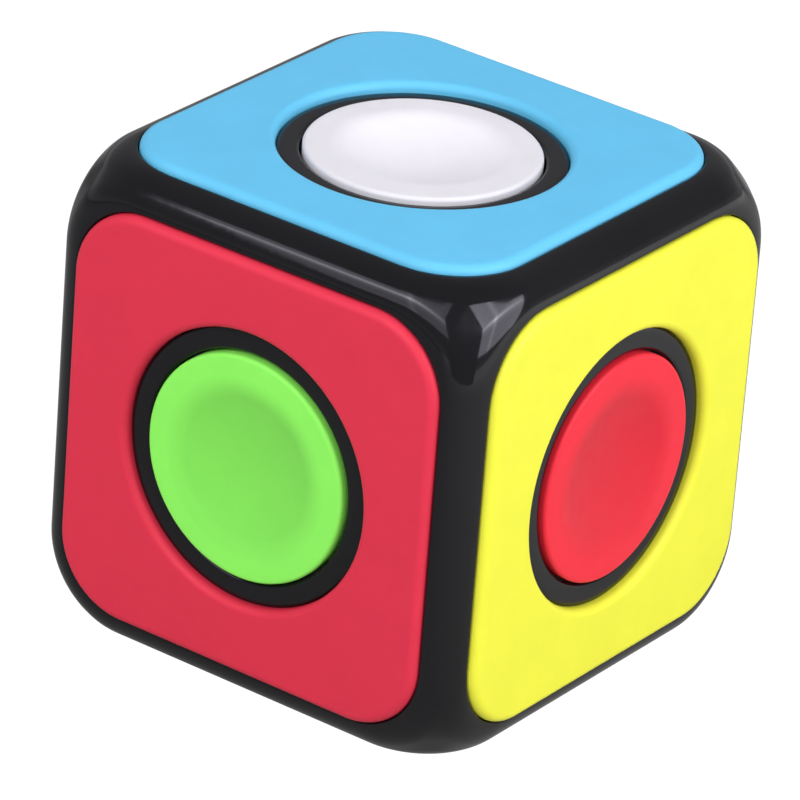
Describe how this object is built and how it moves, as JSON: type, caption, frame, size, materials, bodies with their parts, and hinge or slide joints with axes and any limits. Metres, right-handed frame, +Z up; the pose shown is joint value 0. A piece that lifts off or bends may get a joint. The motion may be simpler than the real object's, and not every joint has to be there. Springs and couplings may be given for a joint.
{
  "type": "fidget cube",
  "caption": "Rounded cube with a coloured panel on each face and a dished finger cap turning on a ball bearing in the middle of each panel.",
  "frame": {"origin": "centre of the cube, where the three spin axes cross", "axes": "+Z up through the top cap, -Y out of the front face, +X out of the right face"},
  "size_m": [0.04, 0.04, 0.04],
  "materials": {
    "frame_black": "high gloss",
    "panel_blue": "satin, finely grained",
    "panel_red": "satin, finely grained",
    "panel_yellow": "satin, finely grained",
    "panel_orange": "satin, finely grained",
    "panel_white": "satin, finely grained",
    "panel_green": "satin, finely grained",
    "cap_white": "satin",
    "cap_green": "satin",
    "cap_red": "satin",
    "cap_blue": "satin",
    "cap_orange": "satin",
    "cap_yellow": "satin",
    "race_steel": "ground",
    "ball_steel": "polished",
    "cage_brass": "pressed",
    "spring_steel": "dark spring steel",
    "screw_steel": "zinc plated"
  },
  "bodies": {
    "cube": {"body_shell": "frame_black", "base_cover": "frame_black", "base_cover_screws": "screw_steel", "top_panel": "panel_blue", "top_bearing_cup": "frame_black", "top_bearing_outer": "race_steel", "top_snap_ring": "spring_steel", "front_panel": "panel_red", "front_bearing_cup": "frame_black", "front_bearing_outer": "race_steel", "front_snap_ring": "spring_steel", "right_panel": "panel_yellow", "right_bearing_cup": "frame_black", "right_bearing_outer": "race_steel", "right_snap_ring": "spring_steel", "back_panel": "panel_orange", "back_bearing_cup": "frame_black", "back_bearing_outer": "race_steel", "back_snap_ring": "spring_steel", "left_panel": "panel_white", "left_bearing_cup": "frame_black", "left_bearing_outer": "race_steel", "left_snap_ring": "spring_steel", "bottom_panel": "panel_green", "bottom_bearing_cup": "frame_black", "bottom_bearing_outer": "race_steel", "bottom_snap_ring": "spring_steel"},
    "top_spinner": {"top_cap": "cap_white", "top_bearing_inner": "race_steel", "top_screw": "screw_steel"},
    "top_ball_set": {"top_bearing_cage": "cage_brass", "top_bearing_balls": "ball_steel"},
    "front_spinner": {"front_cap": "cap_green", "front_bearing_inner": "race_steel", "front_screw": "screw_steel"},
    "front_ball_set": {"front_bearing_cage": "cage_brass", "front_bearing_balls": "ball_steel"},
    "right_spinner": {"right_cap": "cap_red", "right_bearing_inner": "race_steel", "right_screw": "screw_steel"},
    "right_ball_set": {"right_bearing_cage": "cage_brass", "right_bearing_balls": "ball_steel"},
    "back_spinner": {"back_cap": "cap_blue", "back_bearing_inner": "race_steel", "back_screw": "screw_steel"},
    "back_ball_set": {"back_bearing_cage": "cage_brass", "back_bearing_balls": "ball_steel"},
    "left_spinner": {"left_cap": "cap_orange", "left_bearing_inner": "race_steel", "left_screw": "screw_steel"},
    "left_ball_set": {"left_bearing_cage": "cage_brass", "left_bearing_balls": "ball_steel"},
    "bottom_spinner": {"bottom_cap": "cap_yellow", "bottom_bearing_inner": "race_steel", "bottom_screw": "screw_steel"},
    "bottom_ball_set": {"bottom_bearing_cage": "cage_brass", "bottom_bearing_balls": "ball_steel"}
  },
  "joints": [
    {"name": "top_cap_spin", "type": "hinge", "parent": "cube", "child": "top_spinner", "pos_m": [0, 0, 0], "axis": [0, 0, 1], "continuous": true},
    {"name": "top_cage_spin", "type": "hinge", "parent": "cube", "child": "top_ball_set", "pos_m": [0, 0, 0], "axis": [0, 0, 1], "continuous": true},
    {"name": "front_cap_spin", "type": "hinge", "parent": "cube", "child": "front_spinner", "pos_m": [0, 0, 0], "axis": [0, -1, 0], "continuous": true},
    {"name": "front_cage_spin", "type": "hinge", "parent": "cube", "child": "front_ball_set", "pos_m": [0, 0, 0], "axis": [0, -1, 0], "continuous": true},
    {"name": "right_cap_spin", "type": "hinge", "parent": "cube", "child": "right_spinner", "pos_m": [0, 0, 0], "axis": [1, 0, 0], "continuous": true},
    {"name": "right_cage_spin", "type": "hinge", "parent": "cube", "child": "right_ball_set", "pos_m": [0, 0, 0], "axis": [1, 0, 0], "continuous": true},
    {"name": "back_cap_spin", "type": "hinge", "parent": "cube", "child": "back_spinner", "pos_m": [0, 0, 0], "axis": [0, 1, 0], "continuous": true},
    {"name": "back_cage_spin", "type": "hinge", "parent": "cube", "child": "back_ball_set", "pos_m": [0, 0, 0], "axis": [0, 1, 0], "continuous": true},
    {"name": "left_cap_spin", "type": "hinge", "parent": "cube", "child": "left_spinner", "pos_m": [0, 0, 0], "axis": [-1, 0, 0], "continuous": true},
    {"name": "left_cage_spin", "type": "hinge", "parent": "cube", "child": "left_ball_set", "pos_m": [0, 0, 0], "axis": [-1, 0, 0], "continuous": true},
    {"name": "bottom_cap_spin", "type": "hinge", "parent": "cube", "child": "bottom_spinner", "pos_m": [0, 0, 0], "axis": [0, 0, -1], "continuous": true},
    {"name": "bottom_cage_spin", "type": "hinge", "parent": "cube", "child": "bottom_ball_set", "pos_m": [0, 0, 0], "axis": [0, 0, -1], "continuous": true}
  ],
  "couplings": [
    {"joint": "top_cage_spin", "follows": "top_cap_spin", "ratio": 0.40417},
    {"joint": "front_cage_spin", "follows": "front_cap_spin", "ratio": 0.40417},
    {"joint": "right_cage_spin", "follows": "right_cap_spin", "ratio": 0.40417},
    {"joint": "back_cage_spin", "follows": "back_cap_spin", "ratio": 0.40417},
    {"joint": "left_cage_spin", "follows": "left_cap_spin", "ratio": 0.40417},
    {"joint": "bottom_cage_spin", "follows": "bottom_cap_spin", "ratio": 0.40417}
  ]
}
